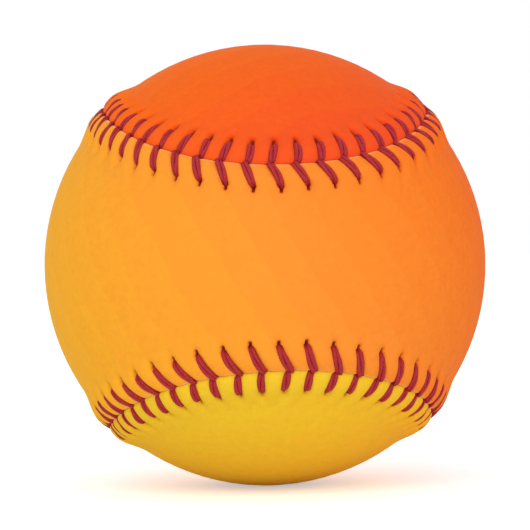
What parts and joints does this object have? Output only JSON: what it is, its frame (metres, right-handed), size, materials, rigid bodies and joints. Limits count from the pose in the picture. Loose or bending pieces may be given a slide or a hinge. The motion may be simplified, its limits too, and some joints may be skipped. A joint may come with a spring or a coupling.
{
  "type": "baseball",
  "caption": "Leather-covered ball with two figure-eight cover panels laced by raised red stitching over wound yarn and a rubber-cushioned cork core.",
  "frame": {"origin": "centre of the ball", "axes": "-Y points out of the middle of the waist of cover_panel_a and +Y out of the waist of cover_panel_b; +X and -X point out of the lobes of cover_panel_a, +Z and -Z out of the lobes of cover_panel_b"},
  "size_m": [0.0746, 0.0743, 0.0746],
  "materials": {
    "cork": "pressed cork and rubber granules, matte",
    "black_rubber": "moulded, matte",
    "red_rubber": "moulded, matte",
    "grey_wool": "wound wool yarn",
    "white_wool": "wound wool yarn",
    "finish_yarn": "wound cotton and polyester yarn",
    "amber_leather": "smooth full-grain leather, coloured yellow-orange to orange, satin",
    "flame_leather": "smooth full-grain leather, coloured yellow to orange-red, satin",
    "waxed_thread": "waxed two-ply cotton thread"
  },
  "bodies": {
    "root": {"cork_core": "cork", "inner_rubber_half_rear": "black_rubber", "inner_rubber_half_front": "black_rubber", "rubber_washer_rear": "red_rubber", "rubber_washer_front": "red_rubber", "outer_rubber_half_rear": "red_rubber", "outer_rubber_half_front": "red_rubber", "first_winding": "grey_wool", "second_winding": "white_wool", "third_winding": "grey_wool", "finish_winding": "finish_yarn", "cover_panel_a": "amber_leather", "cover_panel_b": "flame_leather", "seam_thread": "waxed_thread"}
  },
  "joints": []
}
